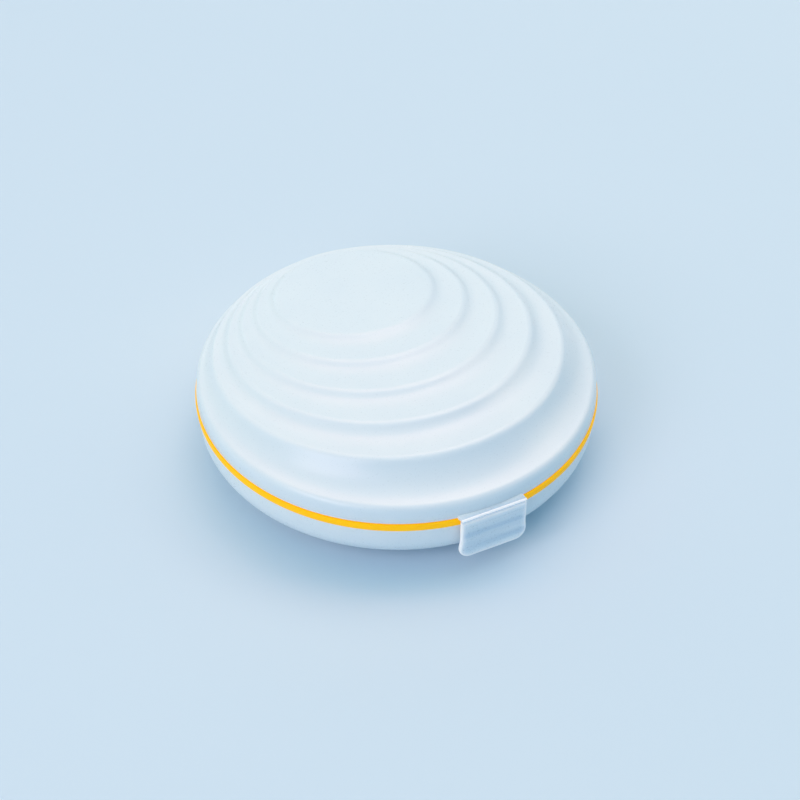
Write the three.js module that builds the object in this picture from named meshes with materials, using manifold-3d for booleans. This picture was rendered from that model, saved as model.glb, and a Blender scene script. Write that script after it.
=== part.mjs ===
// Round travel pill box: a terraced lid and a shallow bowl that meet on a soft yellow ring.
// The lid swings on a pinned hinge at the back and is held shut in front by a strap tab,
// whose integral hinge lets it swing up. Inside, a seven-day tray sits under a clear cover
// that turns on a rivet, so that one day's compartment is open at a time.
//
// Millimetres. +Z is up, the tab faces -Y, and the origin is the middle of the flat foot.

import * as THREE from 'three';
import { mergeVertices } from 'three/addons/utils/BufferGeometryUtils.js';
import Module from 'manifold-3d';

const wasm = await Module();
wasm.setup();

// Driving sizes of the closed box
const seamRadius = 44;            // outer radius of the yellow ring
const baseHeight = 13.05;         // table to the rim of the bowl
const seamHeight = 1.7;           // height of the yellow ring between the rims
const seatGap = 0.1;              // play above and below the yellow ring
const cutOverrun = 1;             // how far a cutter runs past the face that it cuts

// Bowl
const baseRimInset = 0.5;         // the rim stands back from the yellow ring
const baseWaistInset = 0.6;       // the wall has drawn in by this much where the turn starts
const baseTurnHeight = 9.8;       // height at which the wall turns into the bottom
const baseTurnReach = 17.4;       // radial length of that turn
const baseWall = 1.8;
const footGrooveInner = 20;       // the relief that keeps the foot from rocking
const footGrooveOuter = 24;
const footGrooveDepth = 0.6;

// Lid
const lidWall = 1.8;
const lidInset = 0.3;             // the lid's wall stands back from the yellow ring
const lidDraft = 0.15;            // the wall leans in by this much up to the shoulder
const lidWallHeight = 2.4;        // straight wall from the rim up to the shoulder
const crestLength = 1.3;          // the surface turns over this far outside each crest
const lipLength = 0.5;            // and turns up this far before the next one

// Yellow ring and its groove
const ringBand = 2.6;             // radial width of the ring
const ringCrown = 0.12;           // swell of its outer face
const tongueWidth = 0.5;
const tongueDepth = 1;
const tongueInset = 1.65;         // from the ring's outer face to the tongue
const grooveClearance = 0.12;

// Rear hinge
const hingeBarrelRadius = 1.5;
const hingePinRadius = 0.55;
const hingePinClearance = 0.08;
const hingeRingClearance = 0.3;   // between the barrel and the yellow ring
const hingeMiddleWidth = 6;       // knuckle of the lid
const hingeOuterWidth = 3.6;      // each knuckle of the bowl
const hingeSideGap = 0.3;
const hingeLugDepth = 2.2;        // height of the lugs where they leave the walls
const hingeLugRoot = 1.1;         // how deep the lugs are set into the walls
const hingePinRecess = 0.2;       // each end of the pin lies this far inside the barrel

// Front strap: root, integral hinge and flap
const strapWidth = 15.2;
const strapThickness = 1.1;
const strapRingClearance = 0.15;  // between the strap and the yellow ring
const strapTopRise = 0.8;         // top of the strap above the lid's rim, at the wall
const strapRollRadius = 0.4;      // bead along the strap's front edge
const strapRollRise = 0.2;        // how far the bead stands above the top face
const strapTongueReach = 3.8;     // length of the root inside the lid
const strapBarbHeight = 0.6;      // the barb behind the lid's wall
const hingeLineRise = 0.25;       // from the lid's rim up to the integral hinge
const hingeLineGap = 0.3;
const flapLength = 10.4;          // from the integral hinge to the lower edge
const flapFlare = 0.6;            // each side widens by this much near the lower edge
const flapCornerRadius = 3;
const flapRibHeight = 0.16;
const flapRibZone = 7.4;          // height of the ribbed part of the flap
const flapRibCount = 4;
const hookReach = 0.8;            // how far the hook stands out behind the flap
const hookHeight = 1.2;
const hookWidth = 9;
const hookGap = 0.3;              // between the hook and the catch
const catchWidth = 10;
const catchReach = 0.45;          // how far the catch stands out of the bowl
const catchHeight = 1.3;
const catchDrop = 5;              // from the bowl's rim to the catch's lower face

// Tray, clear cover and rivet
const trayClearance = 0.4;        // tray to bowl
const trayWall = 1.1;
const trayFloor = 1.2;
const trayRimDrop = 0.5;          // the tray's rim lies below the bowl's
const trayLift = 0.15;            // the tray's foot above the bowl's floor
const dayCount = 7;
const dayWall = 1.3;
const dayCornerRadius = 1.6;
const hubRadius = 8;
const coverGap = 0.3;             // cover to the tray's rim
const coverThickness = 1.2;
const coverEdgeClearance = 1.5;   // cover to the inside of the yellow ring
const windowMargin = 1.2;         // the window is this much inside the compartment
const gripLength = 16;            // finger rib on the cover
const gripWidth = 2.4;
const gripHeight = 1.3;
const rivetHeadRadius = 4.4;
const rivetHeadHeight = 1.1;
const rivetShankRadius = 1.6;
const rivetShankLength = 7;
const rivetHeadGap = 0.2;
const runningClearance = 0.1;

// The lid's rings, from the flat on top out to the shoulder. Each is a circle through a
// front and a back point: reach towards the tab, height above the seam, reach towards the
// hinge and height there, as shares of the yellow ring's radius.
const lidRingShares = [
  [-0.108, 0.309, 0.878, 0.202],
  [0.102, 0.31, 0.924, 0.181],
  [0.324, 0.304, 0.935, 0.171],
  [0.545, 0.289, 0.942, 0.163],
  [0.76, 0.25, 0.963, 0.142],
  [0.957, 0.118, 0.968, 0.116],
];
const crestWidthShare = 0.25;     // no crest takes more than this of its terrace's width
const lipWidthShare = 0.1;
const crestFallShare = 0.12;      // slope of the surface on a crest
const treadRiseShare = 0.12;      // slope at which a tread rises to the next crest
const shoulderFallShare = 0.15;   // slope where the last tread meets the shoulder
const slopeFollowShare = 0.35;    // part of a terrace's mean slope that both take on
// How soon the riser of each terrace runs out into its tread, as a power
const hollowPowerShares = [4.5, 4.5, 4, 3, 1.3];
// Where the skin has its points: 0 to 1 over the crest, 1 to 2 down the hollow, 2 to 3 up
// the lip, which the last terrace doesn't have
const terraceStopShares = [0.7, 1.1, 1.4, 2, 3];
const lastTerraceStopShares = [0.6, 1, 1.3, 1.6, 2];
const ceilingStopShares = [1, 1.4, 3];
const lastCeilingStopShares = [1, 1.5, 2];
const shoulderStepShares = [0.3, 0.6, 0.85, 1];
const ceilingShoulderShares = [0.5, 1];

const roundSteps = 56;            // facets of every turned part, a multiple of the days
const smallSteps = 20;            // facets of the pins and barrels
const arcSteps = 5;               // facets of a small fillet
const bowlTurnSteps = 8;          // facets of the bowl's turn

// Levels and radii that several pieces share
const seamLevel = baseHeight + seatGap + seamHeight / 2;
const lidRimLevel = baseHeight + seamHeight + 2 * seatGap;
const baseRimRadius = seamRadius - baseRimInset;
const baseWaistRadius = seamRadius - baseWaistInset;
const lidRadius = seamRadius - lidInset;
const hingeY = seamRadius + hingeRingClearance + hingeBarrelRadius;
const strapInnerY = -(seamRadius + strapRingClearance);
const strapOuterY = strapInnerY - strapThickness;
const latchHingeLevel = lidRimLevel + hingeLineRise;
const trayRimLevel = baseHeight - trayRimDrop;
const coverLevel = trayRimLevel + coverGap;

// Solids from closed meshes, and back
function solidOf(geometry) {
  const bare = geometry.index ? geometry.toNonIndexed() : geometry.clone();
  bare.deleteAttribute('normal');
  bare.deleteAttribute('uv');
  const merged = mergeVertices(bare);
  const mesh = new wasm.Mesh({
    numProp: 3,
    vertProperties: new Float32Array(merged.attributes.position.array),
    triVerts: new Uint32Array(merged.index.array),
  });
  return new wasm.Manifold(mesh);
}

function geometryOf(solid) {
  const mesh = solid.getMesh();
  const geometry = new THREE.BufferGeometry();
  geometry.setAttribute('position', new THREE.BufferAttribute(mesh.vertProperties, mesh.numProp));
  geometry.setIndex(new THREE.BufferAttribute(mesh.triVerts, 1));
  geometry.computeVertexNormals();
  return geometry;
}

// A closed [radius, height] profile turned about the upright axis
function turned(profile, steps = roundSteps) {
  const closed = profile.map(([radius, height]) => new THREE.Vector2(radius, height));
  if (profile[0][0] > 0) {
    closed.push(closed[0].clone());
  }
  const geometry = new THREE.LatheGeometry(closed, steps);
  geometry.rotateX(Math.PI / 2);
  return solidOf(geometry);
}

// A [y, z] outline drawn out along X, centred on the given x
function drawnAcross(outline, width, middleX = 0) {
  const shape = new THREE.Shape(outline.map(([y, z]) => new THREE.Vector2(y, z)));
  const geometry = new THREE.ExtrudeGeometry(shape, { depth: width, bevelEnabled: false });
  geometry.translate(0, 0, -width / 2);
  const toYZ = new THREE.Matrix4().makeBasis(
    new THREE.Vector3(0, 1, 0),
    new THREE.Vector3(0, 0, 1),
    new THREE.Vector3(1, 0, 0),
  );
  geometry.applyMatrix4(toYZ);
  geometry.translate(middleX, 0, 0);
  return solidOf(geometry);
}

// A round bar along X
function crossBar(radius, width, y, z, middleX = 0) {
  const geometry = new THREE.CylinderGeometry(radius, radius, width, smallSteps);
  geometry.rotateZ(Math.PI / 2);
  geometry.translate(middleX, y, z);
  return solidOf(geometry);
}

// Points of an elliptic arc in a [radius, height] or [y, z] plane
function arc(middleU, middleV, radiusU, radiusV, from, to, steps = arcSteps) {
  const points = [];
  for (let step = 0; step <= steps; step += 1) {
    const angle = from + ((to - from) * step) / steps;
    points.push([middleU + radiusU * Math.cos(angle), middleV + radiusV * Math.sin(angle)]);
  }
  return points;
}

function wedgeShape(innerRadius, outerRadius, wallWidth, cornerRadius) {
  // A sector with straight sides kept half a wall from the divider's middle, corners rounded
  const half = Math.PI / dayCount;
  const side = wallWidth / 2;
  const reach = (radius) => Math.sqrt(radius * radius - side * side);
  const along = (radius, turn) => {
    const lean = half - Math.atan2(side, reach(radius));
    return [radius * Math.sin(turn * lean), -radius * Math.cos(turn * lean)];
  };
  const shape = new THREE.Shape();
  const inset = (radius, turn, share) => along(radius + share * cornerRadius, turn);
  shape.moveTo(...inset(innerRadius, -1, 1));
  shape.lineTo(...inset(outerRadius, -1, -1));
  const cornerTurn = cornerRadius / (outerRadius * half);
  const rimSteps = roundSteps / dayCount;
  shape.quadraticCurveTo(...along(outerRadius, -1), ...along(outerRadius, -1 + cornerTurn));
  for (let step = 1; step < rimSteps; step += 1) {
    const turn = (1 - cornerTurn) * ((2 * step) / rimSteps - 1);
    shape.lineTo(...along(outerRadius, turn));
  }
  shape.lineTo(...along(outerRadius, 1 - cornerTurn));
  shape.quadraticCurveTo(...along(outerRadius, 1), ...inset(outerRadius, 1, -1));
  shape.lineTo(...inset(innerRadius, 1, 1));
  shape.quadraticCurveTo(...along(innerRadius, 1), ...along(innerRadius, 0));
  shape.quadraticCurveTo(...along(innerRadius, -1), ...inset(innerRadius, -1, 1));
  return shape;
}

function wedgePrism(shape, bottom, top, turn) {
  const geometry = new THREE.ExtrudeGeometry(shape, {
    depth: top - bottom,
    bevelEnabled: false,
    curveSegments: 3,
  });
  geometry.rotateZ(turn);
  geometry.translate(0, 0, bottom);
  return solidOf(geometry);
}

// Lid: the rings carry a skin that turns over each crest, falls, and rises to the next one
function ringPoint(ring, angle) {
  const [frontReach, frontHeight, backReach, backHeight] = ring.map((share) => share * seamRadius);
  const frontness = (1 + Math.cos(angle)) / 2;
  const y = backReach - frontness * (frontReach + backReach);
  const z = seamLevel + backHeight + frontness * (frontHeight - backHeight);
  const tiltedRadius = Math.hypot(frontReach + backReach, frontHeight - backHeight) / 2;
  return new THREE.Vector3(tiltedRadius * Math.sin(angle), y, z);
}

function terraceWidth(index, angle) {
  const from = ringPoint(lidRingShares[index], angle);
  const to = ringPoint(lidRingShares[index + 1], angle);
  return Math.hypot(to.x - from.x, to.y - from.y);
}

// How steeply a terrace falls outward on average
function meanSlope(index, angle) {
  const from = ringPoint(lidRingShares[index], angle);
  const to = ringPoint(lidRingShares[index + 1], angle);
  return (from.z - to.z) / terraceWidth(index, angle);
}

function crestSlope(index, angle) {
  if (index === lidRingShares.length - 1) {
    return shoulderFallShare;
  }
  const after = meanSlope(index, angle);
  if (index === 0) {
    const [frontReach, frontHeight, backReach, backHeight] = lidRingShares[0];
    const flat = ((backHeight - frontHeight) / (frontReach + backReach)) * Math.cos(angle);
    return (flat + crestFallShare + slopeFollowShare * after) / 2;
  }
  return crestFallShare + (slopeFollowShare * (meanSlope(index - 1, angle) + after)) / 2;
}

// A point of a terrace, from the slopes on its crest, down its riser and along its tread
function terracePoint(index, stop, angle) {
  const last = index === lidRingShares.length - 2;
  const width = terraceWidth(index, angle);
  const mean = meanSlope(index, angle);
  const power = hollowPowerShares[index];
  const crest = Math.min(crestLength, crestWidthShare * width);
  const lip = last ? 0 : Math.min(lipLength, lipWidthShare * width);
  const hollow = width - crest - lip;
  const here = crestSlope(index, angle);
  const there = crestSlope(index + 1, angle);
  const tread = last ? shoulderFallShare : slopeFollowShare * mean - treadRiseShare;
  const treadFall = (hollow * tread * power) / (power + 1) + (lip * (tread + there)) / 2;
  const riserFall = mean * width - (crest * here) / 2 - treadFall;
  const riser = riserFall / (crest / 2 + hollow / (power + 1));
  const turning = (part) => part ** 3 - part ** 4 / 2;
  const running = (part) => (1 - part ** (power + 1)) / (power + 1);
  let reach = crest * stop;
  let fall = here * reach + (riser - here) * crest * turning(stop);
  if (stop > 2) {
    reach = width - lip * (3 - stop);
    fall = mean * width - (width - reach) * there - (tread - there) * lip * turning(3 - stop);
  } else if (stop > 1) {
    reach = crest + hollow * (stop - 1);
    fall = (crest * (here + riser)) / 2 + tread * (reach - crest);
    fall += (riser - tread) * hollow * running(2 - stop);
  }
  const from = ringPoint(lidRingShares[index], angle);
  const to = ringPoint(lidRingShares[index + 1], angle);
  const point = from.clone().lerp(to, reach / width);
  point.z = from.z - fall;
  return point;
}

function wallPoint(height, radius, angle) {
  return new THREE.Vector3(radius * Math.sin(angle), -radius * Math.cos(angle), height);
}

function plateauMiddle() {
  const plateau = lidRingShares[0];
  return ringPoint(plateau, 0).add(ringPoint(plateau, Math.PI)).divideScalar(2);
}

// The skin's rings from the edge of the flat to the shoulder, each a function of the angle
function lidSkin(stopShares, lastStopShares, shoulderShares) {
  const rings = [(angle) => ringPoint(lidRingShares[0], angle)];
  for (let index = 0; index < lidRingShares.length - 1; index += 1) {
    const last = index === lidRingShares.length - 2;
    for (const stop of last ? lastStopShares : stopShares) {
      rings.push((angle) => terracePoint(index, stop, angle));
    }
  }
  const shoulder = lidRingShares[lidRingShares.length - 1];
  const wallTop = lidRimLevel + lidWallHeight;
  for (const share of shoulderShares) {
    rings.push((angle) => {
      const from = ringPoint(shoulder, angle);
      const to = wallPoint(wallTop, lidRadius - lidDraft, angle);
      const out = Math.hypot(to.x - from.x, to.y - from.y);
      const first = Math.atan((shoulderFallShare * out) / (from.z - to.z));
      const turn = first + share * (Math.PI / 2 - first);
      const reach = (Math.sin(turn) - Math.sin(first)) / (1 - Math.sin(first));
      const point = from.clone().lerp(to, reach);
      point.z = to.z + ((from.z - to.z) * Math.cos(turn)) / Math.cos(first);
      return point;
    });
  }
  return rings;
}

// The inside of the lid is the same skin, drawn in at the wall and lowered by the wall
function lidShell() {
  const drawIn = (lidRadius - lidWall) / lidRadius;
  const inside = (point) => new THREE.Vector3(point.x * drawIn, point.y * drawIn, point.z - lidWall);
  const outerRings = lidSkin(terraceStopShares, lastTerraceStopShares, shoulderStepShares);
  outerRings.push((angle) => wallPoint(lidRimLevel, lidRadius, angle));
  const ceilingRings = lidSkin(ceilingStopShares, lastCeilingStopShares, ceilingShoulderShares);
  const innerRings = ceilingRings.map((ring) => (angle) => inside(ring(angle)));
  innerRings.push((angle) => wallPoint(lidRimLevel, lidRadius - lidWall, angle));
  const positions = [];
  const faces = [];
  const addPoint = (point) => positions.push(point.x, point.y, point.z) / 3 - 1;
  const addRing = (ring) => {
    const first = positions.length / 3;
    for (let step = 0; step < roundSteps; step += 1) {
      addPoint(ring((2 * Math.PI * step) / roundSteps));
    }
    return first;
  };
  const joinRings = (first, second) => {
    for (let step = 0; step < roundSteps; step += 1) {
      const next = (step + 1) % roundSteps;
      faces.push(first + step, second + step, second + next);
      faces.push(first + step, second + next, first + next);
    }
  };
  const outerFirsts = outerRings.map(addRing);
  const innerFirsts = innerRings.map(addRing);
  const top = addPoint(plateauMiddle());
  const ceiling = addPoint(inside(plateauMiddle()));
  for (let index = 1; index < outerFirsts.length; index += 1) {
    joinRings(outerFirsts[index - 1], outerFirsts[index]);
  }
  for (let index = 1; index < innerFirsts.length; index += 1) {
    joinRings(innerFirsts[index], innerFirsts[index - 1]);
  }
  joinRings(outerFirsts[outerFirsts.length - 1], innerFirsts[innerFirsts.length - 1]);
  for (let step = 0; step < roundSteps; step += 1) {
    const next = (step + 1) % roundSteps;
    faces.push(top, outerFirsts[0] + step, outerFirsts[0] + next);
    faces.push(ceiling, innerFirsts[0] + next, innerFirsts[0] + step);
  }
  const geometry = new THREE.BufferGeometry();
  geometry.setAttribute('position', new THREE.Float32BufferAttribute(positions, 3));
  geometry.setIndex(faces);
  const skin = solidOf(geometry);
  return skin.add(lidKnuckle()).subtract(hingeBore()).subtract(strapSlot());
}

// Hinge lug: from the wall over to a round knuckle, drawn for the lid above the seam
function lidKnuckle() {
  const root = lidRadius - hingeLugRoot;
  const outline = [
    [root, lidRimLevel],
    [hingeY, lidRimLevel],
    ...arc(hingeY, seamLevel, hingeBarrelRadius, hingeBarrelRadius, Math.PI / 6, Math.PI / 2),
    [root, lidRimLevel + hingeLugDepth],
  ];
  const lug = drawnAcross(outline, hingeMiddleWidth);
  return lug.add(crossBar(hingeBarrelRadius, hingeMiddleWidth, hingeY, seamLevel));
}

function baseKnuckle(side) {
  const root = baseRimRadius - hingeLugRoot;
  const middleX = side * (hingeMiddleWidth / 2 + hingeSideGap + hingeOuterWidth / 2);
  const outline = [
    [root, baseHeight],
    [root, baseHeight - hingeLugDepth],
    ...arc(hingeY, seamLevel, hingeBarrelRadius, hingeBarrelRadius, -Math.PI / 2, -Math.PI / 6),
    [hingeY, baseHeight],
  ];
  const lug = drawnAcross(outline, hingeOuterWidth, middleX);
  return lug.add(crossBar(hingeBarrelRadius, hingeOuterWidth, hingeY, seamLevel, middleX));
}

const hingeWidth = hingeMiddleWidth + 2 * (hingeSideGap + hingeOuterWidth);

function hingeBore() {
  return crossBar(hingePinRadius + hingePinClearance, hingeWidth + cutOverrun, hingeY, seamLevel);
}

function hingePin() {
  return crossBar(hingePinRadius, hingeWidth - 2 * hingePinRecess, hingeY, seamLevel);
}

// Bowl: an upright wall that turns through a quarter ellipse into a flat foot
function bowlProfile(inset, floorLevel, rimLevel) {
  const turn = arc(
    baseWaistRadius - baseTurnReach,
    baseTurnHeight,
    baseTurnReach - inset,
    baseTurnHeight - floorLevel,
    -Math.PI / 2,
    0,
    bowlTurnSteps,
  );
  return [[0, floorLevel], ...turn, [baseRimRadius - inset, rimLevel]];
}

function baseShell() {
  const outer = bowlProfile(0, 0, baseHeight);
  const inner = bowlProfile(baseWall, baseWall, baseHeight);
  const relief = [
    [footGrooveInner, 0],
    [footGrooveInner + footGrooveDepth, footGrooveDepth],
    [footGrooveOuter - footGrooveDepth, footGrooveDepth],
    [footGrooveOuter, 0],
  ];
  const profile = [outer[0], ...relief, ...outer.slice(1), ...inner.reverse()];
  const tongueRadius = seamRadius - tongueInset;
  const groove = turned([
    [tongueRadius - tongueWidth - grooveClearance, baseHeight - tongueDepth - grooveClearance],
    [tongueRadius + grooveClearance, baseHeight - tongueDepth - grooveClearance],
    [tongueRadius + grooveClearance, baseHeight + cutOverrun],
    [tongueRadius - tongueWidth - grooveClearance, baseHeight + cutOverrun],
  ]);
  const shell = turned(profile).add(baseKnuckle(-1)).add(baseKnuckle(1)).add(catchLedge());
  return shell.subtract(groove).subtract(hingeBore());
}

// Ledge in front with a level lower face for the hook and a sloping top to ride over
function catchLedge() {
  const root = -(baseWaistRadius - baseWall / 2);
  const face = -(baseWaistRadius + catchReach);
  const bottom = baseHeight - catchDrop;
  const outline = [
    [root, bottom],
    [root, bottom + catchHeight + catchReach],
    [face, bottom + catchHeight / 2],
    [face, bottom],
  ];
  return drawnAcross(outline.reverse(), catchWidth);
}

// Yellow ring: a crowned band between the rims, with a tongue that sits in the bowl's groove
function sealRing() {
  const bottom = baseHeight + seatGap;
  const top = bottom + seamHeight;
  const tongueRadius = seamRadius - tongueInset;
  const tongueFoot = baseHeight - tongueDepth;
  const edge = seamRadius - ringCrown;
  return turned([
    [seamRadius - ringBand, top],
    [seamRadius - ringBand, bottom],
    [tongueRadius - tongueWidth, bottom],
    [tongueRadius - tongueWidth, tongueFoot],
    [tongueRadius, tongueFoot],
    [tongueRadius, bottom],
    [edge, bottom],
    [seamRadius, bottom + seamHeight / 3],
    [seamRadius, top - seamHeight / 3],
    [edge, top],
  ]);
}

// Strap root: a tongue through the lid's rim, a level top face and a bead along its edge
function strapRootOutline() {
  const underside = lidRimLevel + seatGap;
  const top = lidRimLevel + strapTopRise;
  const rollY = strapOuterY + strapRollRadius;
  const rollZ = top + strapRollRise - strapRollRadius;
  const barbY = strapTongueReach - lidRadius;
  const hingeTop = latchHingeLevel + hingeLineGap / 2;
  return [
    [strapInnerY + strapRingClearance, hingeTop],
    [-lidRadius, underside],
    [barbY, underside],
    [barbY, top],
    [barbY - strapBarbHeight, top + strapBarbHeight],
    [barbY - strapBarbHeight, top],
    ...arc(rollY, rollZ, strapRollRadius, strapRollRadius, Math.PI / 6, Math.PI),
    [strapOuterY, hingeTop],
  ];
}

function latchRoot() {
  return drawnAcross(strapRootOutline(), strapWidth);
}

// Slot in the lid's rim for the root, open below
function strapSlot() {
  const top = lidRimLevel + strapTopRise + seatGap;
  const outline = [
    [-(lidRadius + cutOverrun), lidRimLevel - cutOverrun],
    [-(lidRadius - lidWall - cutOverrun), lidRimLevel - cutOverrun],
    [-(lidRadius - lidWall - cutOverrun), top],
    [-(lidRadius + cutOverrun), top],
  ];
  return drawnAcross(outline, strapWidth + 2 * seatGap);
}

// Flap: a plate with soft cross ribs and round lower corners, and a hook behind it
function flapSideOutline() {
  const top = latchHingeLevel - hingeLineGap / 2;
  const bottom = latchHingeLevel - flapLength;
  const outerFace = [];
  const steps = flapRibCount * 6;
  for (let step = 0; step <= steps; step += 1) {
    const share = step / steps;
    const swell = flapRibHeight * (0.5 - 0.5 * Math.cos(2 * Math.PI * flapRibCount * share));
    outerFace.push([strapOuterY - swell, top - flapRibHeight - flapRibZone * share]);
  }
  const roundEdge = arc(
    (strapOuterY + strapInnerY) / 2,
    bottom + strapThickness / 2,
    strapThickness / 2,
    strapThickness / 2,
    -Math.PI,
    0,
  );
  return [[strapOuterY, top], ...outerFace, ...roundEdge, [strapInnerY, top]];
}

function flapFrontShape() {
  const top = latchHingeLevel + cutOverrun;
  const bottom = latchHingeLevel - flapLength;
  const half = strapWidth / 2;
  const wide = half + flapFlare;
  const corner = bottom + flapCornerRadius;
  const shape = new THREE.Shape();
  shape.moveTo(-half, top);
  shape.lineTo(-half, latchHingeLevel);
  shape.quadraticCurveTo(-half, corner + flapCornerRadius, -wide, corner);
  shape.quadraticCurveTo(-wide, bottom, flapCornerRadius - wide, bottom);
  shape.lineTo(wide - flapCornerRadius, bottom);
  shape.quadraticCurveTo(wide, bottom, wide, corner);
  shape.quadraticCurveTo(half, corner + flapCornerRadius, half, latchHingeLevel);
  shape.lineTo(half, top);
  return shape;
}

function latchFlap() {
  const plate = drawnAcross(flapSideOutline(), strapWidth + 2 * (flapFlare + cutOverrun));
  const frontDepth = 2 * (strapThickness + cutOverrun);
  const front = new THREE.ExtrudeGeometry(flapFrontShape(), {
    depth: frontDepth,
    bevelEnabled: false,
    curveSegments: arcSteps,
  });
  front.rotateX(Math.PI / 2);
  front.translate(0, (strapInnerY + strapOuterY + frontDepth) / 2, 0);
  const hookTop = baseHeight - catchDrop - hookGap;
  const hookOutline = [
    [strapInnerY - strapThickness / 2, hookTop],
    [strapInnerY + hookReach, hookTop],
    [strapInnerY + hookReach, hookTop - hookHeight / 3],
    [strapInnerY - strapThickness / 2, hookTop - hookHeight - hookReach],
  ];
  const hook = drawnAcross(hookOutline.reverse(), hookWidth);
  return plate.intersect(solidOf(front)).add(hook);
}

// Tray: a bowl-shaped insert with one wedge compartment for each day around a hub
function compartmentTray() {
  const inset = baseWall + trayClearance;
  const foot = baseWall + trayLift;
  const body = turned([...bowlProfile(inset, foot, trayRimLevel), [0, trayRimLevel]]);
  const hollowInset = inset + trayWall;
  const hollowFloor = foot + trayFloor;
  const hollowTop = trayRimLevel + cutOverrun;
  const hollow = turned([...bowlProfile(hollowInset, hollowFloor, hollowTop), [0, hollowTop]]);
  const shape = wedgeShape(hubRadius, baseRimRadius - hollowInset, dayWall, dayCornerRadius);
  let tray = body;
  for (let day = 0; day < dayCount; day += 1) {
    const turn = (2 * Math.PI * day) / dayCount;
    const wedge = wedgePrism(shape, hollowFloor, hollowTop, turn);
    tray = tray.subtract(hollow.intersect(wedge));
  }
  const boreRadius = rivetShankRadius + runningClearance;
  const boreFoot = coverLevel + coverThickness - rivetShankLength - cutOverrun;
  return tray.subtract(turned([
    [0, boreFoot],
    [boreRadius, boreFoot],
    [boreRadius, trayRimLevel + cutOverrun],
    [0, trayRimLevel + cutOverrun],
  ], smallSteps));
}

// Clear cover: a flat disc with one window the shape of a compartment, and a finger rib
function windowCover() {
  const radius = seamRadius - ringBand - coverEdgeClearance;
  const top = coverLevel + coverThickness;
  const boreRadius = rivetShankRadius + 2 * runningClearance;
  const disc = turned([
    [boreRadius, coverLevel],
    [radius, coverLevel],
    [radius, top],
    [boreRadius, top],
  ]);
  const shape = wedgeShape(
    hubRadius + windowMargin,
    baseWaistRadius - baseWall - trayClearance - trayWall - windowMargin,
    dayWall + 2 * windowMargin,
    dayCornerRadius,
  );
  const window = wedgePrism(shape, coverLevel - cutOverrun, top + cutOverrun, 0);
  const grip = new THREE.CylinderGeometry(1, 1, gripHeight * 2, smallSteps);
  grip.rotateX(Math.PI / 2);
  grip.scale(gripWidth / 2, gripLength / 2, 1);
  grip.translate(0, (hubRadius + radius) / 2, top);
  return disc.subtract(window).add(solidOf(grip).subtract(belowLevel(coverLevel + coverThickness / 2)));
}

// Everything of the box below a level
function belowLevel(level) {
  const depth = baseHeight * 2;
  const block = new THREE.BoxGeometry(seamRadius * 2, seamRadius * 2, depth);
  block.translate(0, 0, level - depth / 2);
  return solidOf(block);
}

// Rivet pressed into the hub: a low domed head over the cover and a plain shank
function hubRivet() {
  const headFoot = coverLevel + coverThickness + rivetHeadGap;
  const headTop = headFoot + rivetHeadHeight;
  return turned([
    [0, headFoot - rivetShankLength],
    [rivetShankRadius, headFoot - rivetShankLength],
    [rivetShankRadius, headFoot],
    [rivetHeadRadius, headFoot],
    ...arc(0, headFoot, rivetHeadRadius, headTop - headFoot, Math.PI / 12, Math.PI / 2).slice(0, -1),
    [0, headTop],
  ], smallSteps);
}

// Materials
const paleAbs = { color: 0xdfe9f3, roughness: 0.42, metalness: 0 };
const yellowElastomer = { color: 0xfdc51c, roughness: 0.5, metalness: 0 };
const frostedPolypropylene = { color: 0xc6d8e8, roughness: 0.5, metalness: 0 };
const trayPolypropylene = { color: 0xf2f6fa, roughness: 0.5, metalness: 0 };
const clearPolystyrene = {
  color: 0xeef5fb,
  roughness: 0.1,
  metalness: 0,
  transparent: true,
  opacity: 0.35,
};
const brightSteel = { color: 0xc9ccd0, roughness: 0.3, metalness: 1 };

const pieces = {
  base_shell: [baseShell, paleAbs],
  seal_ring: [sealRing, yellowElastomer],
  compartment_tray: [compartmentTray, trayPolypropylene],
  hub_rivet: [hubRivet, trayPolypropylene],
  window_cover: [windowCover, clearPolystyrene],
  hinge_pin: [hingePin, brightSteel],
  lid_shell: [lidShell, paleAbs],
  latch_root: [latchRoot, frostedPolypropylene],
  latch_flap: [latchFlap, frostedPolypropylene],
};

const pillBox = new THREE.Group();
for (const [name, [makeSolid, finish]] of Object.entries(pieces)) {
  const mesh = new THREE.Mesh(geometryOf(makeSolid()), new THREE.MeshStandardMaterial(finish));
  mesh.name = name;
  pillBox.add(mesh);
}

export default pillBox;
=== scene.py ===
import math

import bmesh
import bpy
from mathutils import Matrix, Vector


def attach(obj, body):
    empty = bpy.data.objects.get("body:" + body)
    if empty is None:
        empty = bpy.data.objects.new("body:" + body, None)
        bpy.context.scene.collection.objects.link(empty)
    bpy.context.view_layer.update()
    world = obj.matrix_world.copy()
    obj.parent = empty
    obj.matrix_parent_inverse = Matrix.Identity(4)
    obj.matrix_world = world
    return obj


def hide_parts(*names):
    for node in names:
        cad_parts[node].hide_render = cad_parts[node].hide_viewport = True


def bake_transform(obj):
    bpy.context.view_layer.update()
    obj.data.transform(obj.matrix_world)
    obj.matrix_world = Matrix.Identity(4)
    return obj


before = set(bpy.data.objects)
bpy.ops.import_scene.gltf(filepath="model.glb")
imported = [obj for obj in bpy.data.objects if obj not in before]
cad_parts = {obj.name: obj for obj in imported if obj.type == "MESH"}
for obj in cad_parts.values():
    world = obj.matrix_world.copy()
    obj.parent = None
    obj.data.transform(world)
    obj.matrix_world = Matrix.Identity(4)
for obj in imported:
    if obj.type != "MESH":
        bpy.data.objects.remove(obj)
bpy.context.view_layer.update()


# Bowl: the shallow lower half of the box, injection moulded in pale blue-white ABS. Its
# upright wall turns through a quarter ellipse into a flat foot with a shallow relief ring,
# and its rim has the groove that the yellow ring's tongue is pressed into.
MM = 0.001
ROUND_STEPS = 216

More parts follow.
